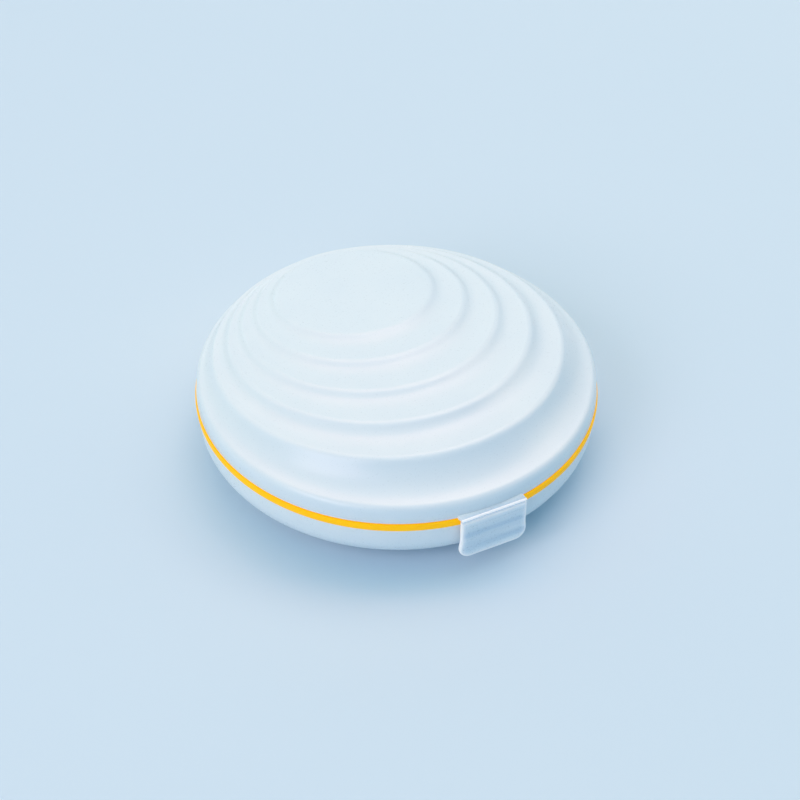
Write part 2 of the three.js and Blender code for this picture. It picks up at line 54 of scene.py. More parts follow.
SEAM_RADIUS = 44.0
BASE_HEIGHT = 13.05
SEAM_HEIGHT = 1.7
SEAT_GAP = 0.1
SEAM_LEVEL = BASE_HEIGHT + SEAT_GAP + SEAM_HEIGHT / 2
LID_RIM_LEVEL = BASE_HEIGHT + SEAM_HEIGHT + 2 * SEAT_GAP
BOWL_RIM_RADIUS = 43.5
BOWL_WAIST_RADIUS = 43.4
BOWL_TURN_HEIGHT = 9.8
BOWL_TURN_REACH = 17.4
BOWL_WALL = 1.8
RELIEF_INNER = 20.0
RELIEF_OUTER = 24.0
RELIEF_DEPTH = 0.6
TONGUE_RADIUS = 42.35
TONGUE_WIDTH = 0.5
TONGUE_DEPTH = 1.0
GROOVE_GAP = 0.12
SHARP_ANGLE = math.radians(38)


def new_piece(name, points, faces):
    """A closed mesh given in millimetres, smooth but for its sharp edges."""
    mesh = bpy.data.meshes.new(name)
    mesh.from_pydata([tuple(MM * value for value in point) for point in points], [], faces)
    mesh.validate()
    shell = bmesh.new()
    shell.from_mesh(mesh)
    bmesh.ops.remove_doubles(shell, verts=shell.verts, dist=1e-7)
    bmesh.ops.recalc_face_normals(shell, faces=shell.faces)
    shell.to_mesh(mesh)
    shell.free()
    mesh.shade_smooth()
    mesh.set_sharp_from_angle(angle=SHARP_ANGLE)
    piece = bpy.data.objects.new(name, mesh)
    bpy.context.scene.collection.objects.link(piece)
    return piece


def ellipse_arc(middle, radii, start, end, steps):
    """Points of an elliptic arc between two angles in degrees."""
    angles = [math.radians(start + (end - start) * step / steps) for step in range(steps + 1)]
    return [(middle[0] + radii[0] * math.cos(a), middle[1] + radii[1] * math.sin(a)) for a in angles]


def eased(corners, steps=5):
    """A closed outline from (u, v, radius) corners, each rounded to its radius."""
    outline = []
    for index, (u, v, radius) in enumerate(corners):
        here = Vector((u, v))
        before = Vector(corners[index - 1][:2]) - here
        after = Vector(corners[(index + 1) % len(corners)][:2]) - here
        if radius <= 0 or before.length < 1e-6 or after.length < 1e-6:
            outline.append((u, v))
            continue
        half = before.angle(after) / 2
        reach = min(radius / math.tan(half), 0.49 * before.length, 0.49 * after.length)
        start = here + before.normalized() * reach
        end = here + after.normalized() * reach
        middle = here + (before.normalized() + after.normalized()).normalized() * reach / math.cos(half)
        bend = reach * math.tan(half)
        for step in range(steps + 1):
            spoke = start.lerp(end, step / steps) - middle
            outline.append(tuple(middle + spoke.normalized() * bend))
    return outline


def turned(name, outline, steps=ROUND_STEPS):
    """An outline of (radius, height) turned about the upright axis."""
    points, rings = [], []
    for radius, height in outline:
        count = steps if radius > 1e-4 else 1
        rings.append((len(points), count))
        for step in range(count):
            angle = 2 * math.pi * step / steps
            points.append((radius * math.sin(angle), -radius * math.cos(angle), height))
    faces = []
    closed = rings if outline[0][0] > 1e-4 else rings[:-1]
    for index in range(len(closed)):
        (first, count), (second, other) = rings[index], rings[(index + 1) % len(rings)]
        for step in range(steps):
            along = (step + 1) % steps
            corners = [first + step % count, second + step % other]
            corners += [second + along % other, first + along % count]
            face = list(dict.fromkeys(corners))
            if len(face) > 2:
                faces.append(face)
    return new_piece(name, points, faces)


def bowl_turn(inset, floor_level):
    """The outline's turn from the foot or floor up to the wall."""
    middle = (BOWL_WAIST_RADIUS - BOWL_TURN_REACH, BOWL_TURN_HEIGHT)
    radii = (BOWL_TURN_REACH - inset, BOWL_TURN_HEIGHT - floor_level)
    return [(r, z, 0) for r, z in ellipse_arc(middle, radii, -90, 0, 22)]


groove_outer = TONGUE_RADIUS + GROOVE_GAP
groove_inner = TONGUE_RADIUS - TONGUE_WIDTH - GROOVE_GAP
groove_foot = BASE_HEIGHT - TONGUE_DEPTH - GROOVE_GAP
bowl_outline = eased([
    (0, 0, 0), (RELIEF_INNER, 0, 0.3), (RELIEF_INNER + RELIEF_DEPTH, RELIEF_DEPTH, 0.3),
    (RELIEF_OUTER - RELIEF_DEPTH, RELIEF_DEPTH, 0.3), (RELIEF_OUTER, 0, 0.3),
    *bowl_turn(0, 0),
    (BOWL_RIM_RADIUS, BASE_HEIGHT, 0.25),
    (groove_outer, BASE_HEIGHT, 0.06), (groove_outer, groove_foot, 0),
    (groove_inner, groove_foot, 0), (groove_inner, BASE_HEIGHT, 0.06),
    (BOWL_RIM_RADIUS - BOWL_WALL, BASE_HEIGHT, 0.12),
    *reversed(bowl_turn(BOWL_WALL, BOWL_WALL)),
    (0, BOWL_WALL, 0),
])
bowl = turned("bowl", bowl_outline)


def linear(code):
    """An sRGB hex colour as the linear RGBA that the sockets take."""
    shares = [int(code[index:index + 2], 16) / 255 for index in (1, 3, 5)]
    return [s / 12.92 if s <= 0.04045 else ((s + 0.055) / 1.055) ** 2.4 for s in shares] + [1.0]


def add(tree, kind, inputs=None, **settings):
    """Adds a node with its settings. An input takes a value, a socket or a node's first output."""
    node = tree.nodes.new(kind)
    for name, value in settings.items():
        setattr(node, name, value)
    for name, value in (inputs or {}).items():
        if isinstance(value, bpy.types.Node):
            value = value.outputs[0]
        if isinstance(value, bpy.types.NodeSocket):
            tree.links.new(value, node.inputs[name])
        else:
            node.inputs[name].default_value = value
    return node


def start_material(name):
    """An empty material, its node tree and the piece's own coordinates in metres."""
    material = bpy.data.materials.new(name)
    material.use_nodes = True
    material.node_tree.nodes.clear()
    place = add(material.node_tree, "ShaderNodeTexCoord").outputs["Object"]
    return material, material.node_tree, place


# Sockets of a colour Mix node: its factor, its two colours and its result
FACTOR, FIRST, SECOND, MIXED = 0, 6, 7, 2

# Moulded ABS: opaque and satin, with the faint cloud of the flow front, a fine spark-eroded
# grain (drawn at 0.35 mm, coarser than the real 0.05 mm) and a barely wavy surface.
pale_abs, tree, place = start_material("moulded ABS, pale blue-white")
cloud = add(tree, "ShaderNodeTexNoise", {"Vector": place, "Scale": 1 / (16 * MM), "Detail": 2.0})
grain = add(tree, "ShaderNodeTexNoise", {"Vector": place, "Scale": 1 / (0.35 * MM), "Detail": 2.0})
waves = add(tree, "ShaderNodeTexNoise", {"Vector": place, "Scale": 1 / (9 * MM), "Detail": 1.0})
satin = add(tree, "ShaderNodeMapRange", {
    "Value": grain, "From Min": 0.3, "From Max": 0.7, "To Min": 0.27, "To Max": 0.31,
})
colour = add(tree, "ShaderNodeMix", {
    FACTOR: cloud, FIRST: linear("#ECF3F8"), SECOND: linear("#E4EDF5"),
}, data_type="RGBA").outputs[MIXED]
texture = add(tree, "ShaderNodeBump", {"Height": grain, "Strength": 0.012, "Distance": 0.02 * MM})
surface = add(tree, "ShaderNodeBump", {
    "Height": waves, "Strength": 0.12, "Distance": 0.05 * MM, "Normal": texture,
})
add(tree, "ShaderNodeOutputMaterial", {"Surface": add(tree, "ShaderNodeBsdfPrincipled", {
    "Base Color": colour, "Roughness": satin, "Normal": surface, "IOR": 1.54,
    "Subsurface Weight": 0.12, "Subsurface Scale": 1.2 * MM, "Subsurface Radius": (1.0, 1.0, 1.0),
})})
bowl.data.materials.append(pale_abs)
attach(bowl, "base")
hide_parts("base_shell")


# Catch ledge: the small step in front of the bowl that the strap's hook snaps under. It is
# part of the bowl's moulding, level below and sloping on top so that the hook rides over.
CATCH_WIDTH = 10.0
CATCH_REACH = 0.45
CATCH_HEIGHT = 1.3
CATCH_FOOT = BASE_HEIGHT - 5.0


def drawn_across(name, outline, width, middle_x=0.0, edge=0.2):
    """A (y, z) outline drawn out along X, with its edges rounded."""
    count = len(outline)
    points = [(middle_x + side * width / 2, y, z) for side in (-1, 1) for y, z in outline]
    faces = [list(range(count)), list(range(2 * count - 1, count - 1, -1))]
    faces += [[i, i + count, (i + 1) % count + count, (i + 1) % count] for i in range(count)]
    piece = new_piece(name, points, faces)
    if edge > 0:
        solid = bmesh.new()
        solid.from_mesh(piece.data)
        bmesh.ops.recalc_face_normals(solid, faces=solid.faces)
        sharp = [e for e in solid.edges if e.calc_face_angle(0) > math.radians(35)]
        bmesh.ops.bevel(solid, geom=sharp, offset=edge * MM, offset_type="OFFSET", segments=4,
                        profile=0.5, affect="EDGES", clamp_overlap=True)
        solid.to_mesh(piece.data)
        solid.free()
        piece.data.shade_smooth()
        piece.data.set_sharp_from_angle(angle=SHARP_ANGLE)
    return piece


catch_root = -(BOWL_WAIST_RADIUS - BOWL_WALL / 2)
catch_face = -(BOWL_WAIST_RADIUS + CATCH_REACH)
catch = drawn_across("catch_ledge", [
    (catch_root, CATCH_FOOT), (catch_root, CATCH_FOOT + CATCH_HEIGHT + CATCH_REACH),
    (catch_face, CATCH_FOOT + CATCH_HEIGHT / 2), (catch_face, CATCH_FOOT),
], CATCH_WIDTH, edge=0.12)
catch.data.materials.append(pale_abs)
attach(catch, "base")


# Yellow ring: a soft thermoplastic elastomer seal with a crowned edge that shows between the
# rims. A tongue underneath sits in the bowl's groove, and the lid squeezes the ring shut.
RING_BAND = 2.6
RING_CROWN = 0.12
ring_foot = BASE_HEIGHT + SEAT_GAP
ring_top = ring_foot + SEAM_HEIGHT
ring_outline = eased([
    (SEAM_RADIUS - RING_BAND, ring_top, 0.15), (SEAM_RADIUS - RING_BAND, ring_foot, 0.15),
    (TONGUE_RADIUS - TONGUE_WIDTH, ring_foot, 0),
    (TONGUE_RADIUS - TONGUE_WIDTH, BASE_HEIGHT - TONGUE_DEPTH, 0.1),
    (TONGUE_RADIUS, BASE_HEIGHT - TONGUE_DEPTH, 0.1), (TONGUE_RADIUS, ring_foot, 0),
    (SEAM_RADIUS - RING_CROWN, ring_foot, 0.16), (SEAM_RADIUS, SEAM_LEVEL, 3.0),
    (SEAM_RADIUS - RING_CROWN, ring_top, 0.16),
])
ring = turned("yellow_ring", ring_outline)


# Elastomer: matt and slightly waxy, with a soft skin grain and a little light let through.
# The low emission is a painted glow that makes its strong yellow brighter than the lamps make it.
elastomer, tree, place = start_material("moulded elastomer, yellow")
cloud = add(tree, "ShaderNodeTexNoise", {"Vector": place, "Scale": 1 / (6 * MM), "Detail": 2.0})
skin = add(tree, "ShaderNodeTexNoise", {"Vector": place, "Scale": 1 / (0.3 * MM), "Detail": 2.0})
waxy = add(tree, "ShaderNodeMapRange", {
    "Value": skin, "From Min": 0.3, "From Max": 0.7, "To Min": 0.45, "To Max": 0.6,
})
colour = add(tree, "ShaderNodeMix", {
    FACTOR: cloud, FIRST: linear("#FFCB04"), SECOND: linear("#FFC000"),
}, data_type="RGBA").outputs[MIXED]
texture = add(tree, "ShaderNodeBump", {"Height": skin, "Strength": 0.15, "Distance": 0.03 * MM})
add(tree, "ShaderNodeOutputMaterial", {"Surface": add(tree, "ShaderNodeBsdfPrincipled", {
    "Base Color": colour, "Roughness": waxy, "Normal": texture, "IOR": 1.49,
    "Specular IOR Level": 0.2,
    "Subsurface Weight": 0.2, "Subsurface Scale": 0.6 * MM, "Subsurface Radius": (1.0, 0.6, 0.15),
    "Emission Color": linear("#FFA000"), "Emission Strength": 0.34,
})})
ring.data.materials.append(elastomer)
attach(ring, "base")
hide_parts("seal_ring")


# Lid: one thin ABS moulding. Five terraces step down from an off-centre flat, wide towards
# the strap and bunched at the hinge. Each falls from a round crest into a hollow that rises a
# little to the next crest.
LID_RADIUS = 43.7
LID_WALL = 1.8
LID_WALL_TOP = LID_RIM_LEVEL + 2.4
LID_WALL_TOP_RADIUS = LID_RADIUS - 0.15
CREST_LENGTH = 1.3
LIP_LENGTH = 0.5
CREST_FALL = 0.12
TREAD_RISE = 0.12
SHOULDER_FALL = 0.15
SLOPE_FOLLOW = 0.35
HOLLOW_POWERS = (4.5, 4.5, 4.0, 3.0, 1.3)
SHOULDER_STEPS = 12
RIM_ROUND = 0.22
RIM_ROUND_MIDDLE = 0.07
# Front reach, height there, back reach and height there, above the seam, as shares of the
# yellow ring's radius
LID_RINGS = [
    (-0.108, 0.309, 0.878, 0.202),
    (0.102, 0.31, 0.924, 0.181),
    (0.324, 0.304, 0.935, 0.171),
    (0.545, 0.289, 0.942, 0.163),
    (0.76, 0.25, 0.963, 0.142),
    (0.957, 0.118, 0.968, 0.116),
]


def ring_point(ring, angle):
    """A point of one of the lid's tilted circles, where angle 0 faces the strap."""
    front, front_height, back, back_height = (SEAM_RADIUS * share for share in ring)
    nearness = (1 + math.cos(angle)) / 2
    radius = math.hypot(front + back, front_height - back_height) / 2
    return Vector((
        radius * math.sin(angle),
        back - nearness * (front + back),
        SEAM_LEVEL + back_height + nearness * (front_height - back_height),
    ))


def terrace_line(angle):
    """Points from the first ring to the last, worked out from how steeply each terrace falls."""
    rings = [ring_point(ring, angle) for ring in LID_RINGS]
    widths = [math.hypot(b.x - a.x, b.y - a.y) for a, b in zip(rings, rings[1:])]
    means = [(a.z - b.z) / width for a, b, width in zip(rings, rings[1:], widths)]
    flat = (LID_RINGS[0][3] - LID_RINGS[0][1]) / (LID_RINGS[0][0] + LID_RINGS[0][2]) * math.cos(angle)
    crests = [(flat + CREST_FALL + SLOPE_FOLLOW * means[0]) / 2]
    crests += [CREST_FALL + SLOPE_FOLLOW * (a + b) / 2 for a, b in zip(means, means[1:])]
    crests.append(SHOULDER_FALL)
    line = []
    for index, (start, end, width, mean) in enumerate(zip(rings, rings[1:], widths, means)):
        last = index == len(widths) - 1
        power = HOLLOW_POWERS[index]
        crest = min(CREST_LENGTH, 0.25 * width)
        lip = 0.0 if last else min(LIP_LENGTH, 0.1 * width)
        hollow = width - crest - lip
        here, there = crests[index], crests[index + 1]
        tread = SHOULDER_FALL if last else SLOPE_FOLLOW * mean - TREAD_RISE
        riser = mean * width - crest * here / 2 - hollow * tread * power / (power + 1)
        riser = (riser - lip * (tread + there) / 2) / (crest / 2 + hollow / (power + 1))
        stations = [crest * step / 5 for step in range(5)]
        stations += [crest + hollow * (step / 10) ** 1.4 for step in range(10)]
        if not last:
            stations += [width - lip * (1 - step / 4) for step in range(4)]
        for reach in stations:
            if reach <= crest:
                part = reach / crest
                fall = here * reach + (riser - here) * crest * (part ** 3 - part ** 4 / 2)
            elif reach <= width - lip:
                part = max(0.0, 1 - (reach - crest) / hollow)
                fall = crest * (here + riser) / 2 + tread * (reach - crest)
                fall += (riser - tread) * hollow * (1 - part ** (power + 1)) / (power + 1)
            else:
                part = (width - reach) / lip
                fall = start.z - end.z - there * lip * part
                fall -= (tread - there) * lip * (part ** 3 - part ** 4 / 2)
            point = start.lerp(end, reach / width)
            point.z = start.z - fall
            line.append(point)
    return line + [rings[-1]]


def wall_point(radius, height, angle):
    """A point of the lid's wall or rim, which are round about the box's own axis."""
    return Vector((radius * math.sin(angle), -radius * math.cos(angle), height))


def shoulder_point(share, angle):
    """The lid's round shoulder, from the last ring over to the top of the wall."""
    start = ring_point(LID_RINGS[-1], angle)
    end = wall_point(LID_WALL_TOP_RADIUS, LID_WALL_TOP, angle)
    out, down = math.hypot(end.x - start.x, end.y - start.y), start.z - end.z
    first = math.atan(SHOULDER_FALL * out / down)
    turn = first + share * (math.pi / 2 - first)
    point = start.lerp(end, (math.sin(turn) - math.sin(first)) / (1 - math.sin(first)))
    point.z = end.z + down * math.cos(turn) / math.cos(first)
    return point


def lid_line(angle):
    """The lid's outer skin from the middle of the flat down to the rim, at one angle."""
    middle = (ring_point(LID_RINGS[0], 0) + ring_point(LID_RINGS[0], math.pi)) / 2
    edge = ring_point(LID_RINGS[0], angle)
    line = [middle.lerp(edge, share) for share in (0.3, 0.6, 0.85, 0.95)]
    line += terrace_line(angle)
    line += [shoulder_point(step / SHOULDER_STEPS, angle) for step in range(1, SHOULDER_STEPS + 1)]
    return line


def lid_mesh():
    """The lid's outer skin, its rim and the same skin again inside, one wall further in."""
    rim_inside = LID_RADIUS - LID_WALL
    draw_in = rim_inside / LID_RADIUS
    points, faces, rings = [], [], []
    for step in range(ROUND_STEPS):
        angle = 2 * math.pi * step / ROUND_STEPS
        outer = lid_line(angle)
        inner = [Vector((p.x * draw_in, p.y * draw_in, p.z - LID_WALL)) for p in outer]
        rim = [wall_point(radius, height, angle) for radius, height in (
            (LID_RADIUS, LID_RIM_LEVEL + RIM_ROUND),
            (LID_RADIUS - RIM_ROUND_MIDDLE, LID_RIM_LEVEL + RIM_ROUND_MIDDLE),
            (LID_RADIUS - RIM_ROUND, LID_RIM_LEVEL), (rim_inside + RIM_ROUND, LID_RIM_LEVEL),
            (rim_inside + RIM_ROUND_MIDDLE, LID_RIM_LEVEL + RIM_ROUND_MIDDLE),
            (rim_inside, LID_RIM_LEVEL + RIM_ROUND),
        )]
        rings.append(outer + rim + inner[::-1])
    count = len(rings[0])
    for line in rings:
        points += line
    for step in range(ROUND_STEPS):
        along = (step + 1) % ROUND_STEPS
        for index in range(count - 1):
            faces.append([step * count + index, step * count + index + 1,
                          along * count + index + 1, along * count + index])
    top = (ring_point(LID_RINGS[0], 0) + ring_point(LID_RINGS[0], math.pi)) / 2
    ceiling = Vector((top.x * draw_in, top.y * draw_in, top.z - LID_WALL))
    points += [top, ceiling]
    for step in range(ROUND_STEPS):
        along = (step + 1) % ROUND_STEPS
        faces.append([len(points) - 2, step * count, along * count])
        faces.append([len(points) - 1, along * count + count - 1, step * count + count - 1])
    return new_piece("terraced_lid", points, faces)


lid = lid_mesh()
lid.data.materials.append(pale_abs)
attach(lid, "lid")
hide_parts("lid_shell")


# Rear hinge: three round knuckles on short lugs, the middle one moulded on the lid and the
# outer two on the bowl, all ABS, with a plain steel pin pushed through them.
BARREL_RADIUS = 1.5
PIN_RADIUS = 0.55
HINGE_Y = SEAM_RADIUS + 0.3 + BARREL_RADIUS
MIDDLE_WIDTH = 6.0
OUTER_WIDTH = 3.6
SIDE_GAP = 0.3
LUG_DEPTH = 2.2
LUG_ROOT = 1.1
BORE_GAP = 0.08


def bar_across(name, radius, width, y, z, middle_x=0.0, edge=0.2):
    """A round bar along X."""
    outline = ellipse_arc((y, z), (radius, radius), 0, 360, 40)[:-1]
    return drawn_across(name, outline, width, middle_x, edge)


def cut(piece, cutter, operation="DIFFERENCE"):
    """Cuts one piece with another, or joins the two, and drops the cutter."""
    step = piece.modifiers.new("cut", "BOOLEAN")
    step.operation = operation
    step.solver = "EXACT"
    step.object = cutter
    bpy.context.view_layer.update()
    result = bpy.data.meshes.new_from_object(piece.evaluated_get(bpy.context.evaluated_depsgraph_get()))
    piece.modifiers.remove(step)
    piece.data = result
    bpy.data.objects.remove(cutter)
    result.shade_smooth()
    result.set_sharp_from_angle(angle=SHARP_ANGLE)
    return piece


def knuckle(name, root, level, lug_level, first_angle, last_angle, width, middle_x):
    """A hinge barrel with its bore and with the lug that joins it to its shell."""
    outline = [(root, level), (HINGE_Y, level)]
    outline += ellipse_arc((HINGE_Y, SEAM_LEVEL), (BARREL_RADIUS, BARREL_RADIUS), first_angle, last_angle, 14)
    outline.append((root, lug_level))
    lug = drawn_across(name, outline, width, middle_x)
    cut(lug, bar_across("barrel", BARREL_RADIUS, width, HINGE_Y, SEAM_LEVEL, middle_x), "UNION")
    cut(lug, bar_across("bore", PIN_RADIUS + BORE_GAP, width + 2, HINGE_Y, SEAM_LEVEL, middle_x, edge=0))
    lug.data.materials.clear()
    lug.data.materials.append(pale_abs)
    return lug


middle_knuckle = knuckle("lid_knuckle", LID_RADIUS - LUG_ROOT, LID_RIM_LEVEL, LID_RIM_LEVEL + LUG_DEPTH,
                         30, 90, MIDDLE_WIDTH, 0.0)
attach(middle_knuckle, "lid")
for side, word in ((-1, "left"), (1, "right")):
    outer_knuckle = knuckle(f"bowl_knuckle_{word}", BOWL_RIM_RADIUS - LUG_ROOT, BASE_HEIGHT,
                            BASE_HEIGHT - LUG_DEPTH, -30, -90, OUTER_WIDTH,
                            side * (MIDDLE_WIDTH / 2 + SIDE_GAP + OUTER_WIDTH / 2))
    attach(outer_knuckle, "base")
pin = bar_across("hinge_pin_steel", PIN_RADIUS, MIDDLE_WIDTH + 2 * (SIDE_GAP + OUTER_WIDTH) - 0.4,
                 HINGE_Y, SEAM_LEVEL, edge=0.15)


# Drawn steel wire: bright, with fine lines along the pin from the drawing die.
steel, tree, place = start_material("drawn steel")
along = add(tree, "ShaderNodeMapping", {"Vector": place, "Scale": (0.02, 1.0, 1.0)})
lines = add(tree, "ShaderNodeTexNoise", {"Vector": along, "Scale": 1 / (0.12 * MM), "Detail": 2.0})
brightness = add(tree, "ShaderNodeMapRange", {
    "Value": lines, "From Min": 0.3, "From Max": 0.7, "To Min": 0.22, "To Max": 0.36,
})
colour = add(tree, "ShaderNodeMix", {
    FACTOR: lines, FIRST: linear("#C9CBCE"), SECOND: linear("#B4B7BB"),
}, data_type="RGBA").outputs[MIXED]
texture = add(tree, "ShaderNodeBump", {"Height": lines, "Strength": 0.2, "Distance": 0.01 * MM})
add(tree, "ShaderNodeOutputMaterial", {"Surface": add(tree, "ShaderNodeBsdfPrincipled", {
    "Base Color": colour, "Metallic": 1.0, "Roughness": brightness, "Normal": texture,
})})
pin.data.materials.append(steel)
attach(pin, "base")
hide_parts("hinge_pin")


# Strap root: the fixed end of the frosted polypropylene strap, pushed through a slot in the
# lid's rim and held by a barb. Its level top ends in a bead along the edge, over the hinge.
STRAP_WIDTH = 15.2
STRAP_THICKNESS = 1.1
STRAP_INNER = -(SEAM_RADIUS + 0.15)
STRAP_OUTER = STRAP_INNER - STRAP_THICKNESS
STRAP_TOP = LID_RIM_LEVEL + 0.8
STRAP_REACH = 3.8
BARB_HEIGHT = 0.6
BEAD_RADIUS = 0.4
BEAD_RISE = 0.2
LATCH_LEVEL = LID_RIM_LEVEL + 0.25
HINGE_LINE_GAP = 0.3
SLOT_GAP = 0.02
CUT_PAST = 1.0

root_foot = LATCH_LEVEL + HINGE_LINE_GAP / 2
root_underside = LID_RIM_LEVEL + SEAT_GAP
bead = (STRAP_OUTER + BEAD_RADIUS, STRAP_TOP + BEAD_RISE - BEAD_RADIUS)
barb_y = -LID_RADIUS + STRAP_REACH
root = drawn_across("strap_root", [
    (STRAP_INNER + 0.15, root_foot), (-LID_RADIUS, root_underside),
    (barb_y, root_underside), (barb_y, STRAP_TOP),
    (barb_y - BARB_HEIGHT, STRAP_TOP + BARB_HEIGHT), (barb_y - BARB_HEIGHT, STRAP_TOP),
    *ellipse_arc(bead, (BEAD_RADIUS, BEAD_RADIUS), 30, 180, 14),
    (STRAP_OUTER, root_foot),
], STRAP_WIDTH, edge=0.1)


def mark_painted_edge_glow(piece, share_at):
    """Stores on each point its share of painted edge glow, which its material turns paler and glowing."""
    marks = piece.data.attributes.new("painted_edge_glow", "FLOAT", "POINT")
    for vertex in piece.data.vertices:
        x, y, z = vertex.co / MM
        marks.data[vertex.index].value = min(1.0, max(0.0, share_at(x, y, z)))


# The root's bead and front face get the full share: a painted highlight, pale and glowing, that fades out
# just above the root's foot.
mark_painted_edge_glow(root, lambda x, y, z: min((bead[0] + 0.15 - y) / 0.3, (z - root_foot - 0.1) / 0.25))


# Frosted polypropylene: milky, with faint flow streaks across the strap, which are also a painted
# sheen standing for light on its ribs, and a soft satin skin. Its thin edges are painted paler, and a
# low emission over the whole strap, strongest at those edges, is a painted glow for light carried
# inside to them.
frosted, tree, place = start_material("frosted polypropylene")
along = add(tree, "ShaderNodeMapping", {"Vector": place, "Scale": (0.05, 1.0, 1.0)})
streaks = add(tree, "ShaderNodeTexNoise", {"Vector": along, "Scale": 1 / (2.0 * MM), "Detail": 1.0})
skin = add(tree, "ShaderNodeTexNoise", {"Vector": place, "Scale": 1 / (0.25 * MM), "Detail": 2.0})
painted_edge_glow = add(tree, "ShaderNodeAttribute", attribute_name="painted_edge_glow").outputs["Fac"]
satin = add(tree, "ShaderNodeMapRange", {
    "Value": skin, "From Min": 0.3, "From Max": 0.7, "To Min": 0.26, "To Max": 0.34,
})
milkiness_and_painted_sheen = add(tree, "ShaderNodeMapRange", {"Value": streaks, "From Min": 0.3, "From Max": 0.7})
body = add(tree, "ShaderNodeMix", {
    FACTOR: milkiness_and_painted_sheen, FIRST: linear("#C6DBEB"), SECOND: linear("#E9F2F9"),
}, data_type="RGBA").outputs[MIXED]
colour = add(tree, "ShaderNodeMix", {
    FACTOR: painted_edge_glow, FIRST: body, SECOND: linear("#FFF8F8"),
}, data_type="RGBA").outputs[MIXED]
glow = add(tree, "ShaderNodeMapRange", {"Value": painted_edge_glow, "To Min": 0.04, "To Max": 0.18})
texture = add(tree, "ShaderNodeBump", {"Height": skin, "Strength": 0.08, "Distance": 0.02 * MM})
add(tree, "ShaderNodeOutputMaterial", {"Surface": add(tree, "ShaderNodeBsdfPrincipled", {
    "Base Color": colour, "Roughness": satin, "Normal": texture, "IOR": 1.5,
    "Transmission Weight": 0.08,
    "Subsurface Weight": 0.4, "Subsurface Scale": 0.6 * MM, "Subsurface Radius": (1.0, 1.0, 1.0),
    "Emission Color": linear("#EAF0FA"), "Emission Strength": glow,
})})
root.data.materials.append(frosted)
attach(root, "lid")
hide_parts("latch_root")

slot_outer = -LID_RADIUS - CUT_PAST
slot_inner = -LID_RADIUS + LID_WALL + CUT_PAST
slot_foot = LID_RIM_LEVEL - CUT_PAST
cut(lid, drawn_across("slot", [
    (slot_outer, slot_foot), (slot_inner, slot_foot),
    (slot_inner, STRAP_TOP + SLOT_GAP), (slot_outer, STRAP_TOP + SLOT_GAP),
], STRAP_WIDTH + 2 * SLOT_GAP, edge=0))


# Strap flap: the swinging end of the same moulding, a plate with round edges, four soft
# cross ribs to grip and generous lower corners. Near the foot it flares and leans inwards.
FLAP_LENGTH = 10.4
FLAP_FLARE = 0.22
FLAP_LEAN = 0.15
FLARE_START = 0.7
FLAP_CORNER = 2.6
FLAP_EDGE = 0.45
RIM_WIDTH = 0.5
EDGE_LIGHT_REACH = 1.4
RIB_HEIGHT = 0.16
RIB_ZONE = 7.4
RIB_COUNT = 4
EDGE_ROUNDNESS = 2.6
EDGE_STATIONS = (0, 0.02, 0.06, 0.13, 0.22, 0.33, 0.45)
HOOK_REACH = 0.8
HOOK_HEIGHT = 1.2
HOOK_WIDTH = 9.0
HOOK_GAP = 0.3
flap_top = LATCH_LEVEL - HINGE_LINE_GAP / 2
flap_foot = LATCH_LEVEL - FLAP_LENGTH


def near_foot(z):
    """From 0 on most of the flap to 1 at its round corners, smoothly."""
    share = (LATCH_LEVEL - z) / (FLAP_LENGTH - FLAP_CORNER)
    late = min(1, max(0, (share - FLARE_START) / (1 - FLARE_START)))
    return late * late * (3 - 2 * late)


def flap_half_width(z):
    """Half the flap's width at a height, with the flare and the round lower corner."""
    corner = flap_foot + FLAP_CORNER
    half = STRAP_WIDTH / 2 + FLAP_FLARE * near_foot(z)
    if z < corner:
        half = half - FLAP_CORNER + math.sqrt(max(0, FLAP_CORNER ** 2 - (corner - z) ** 2))
    return half


def flap_edge_distance(x, z):
    """How far a point of the flap's face lies inside its outline."""
    corner = flap_foot + FLAP_CORNER
    corner_x = STRAP_WIDTH / 2 + FLAP_FLARE - FLAP_CORNER
    if z < corner and abs(x) > corner_x:
        side = FLAP_CORNER - math.hypot(abs(x) - corner_x, corner - z)
    else:
        side = min(flap_half_width(z) - abs(x), z - flap_foot)
    return max(0, min(side, flap_top - z))


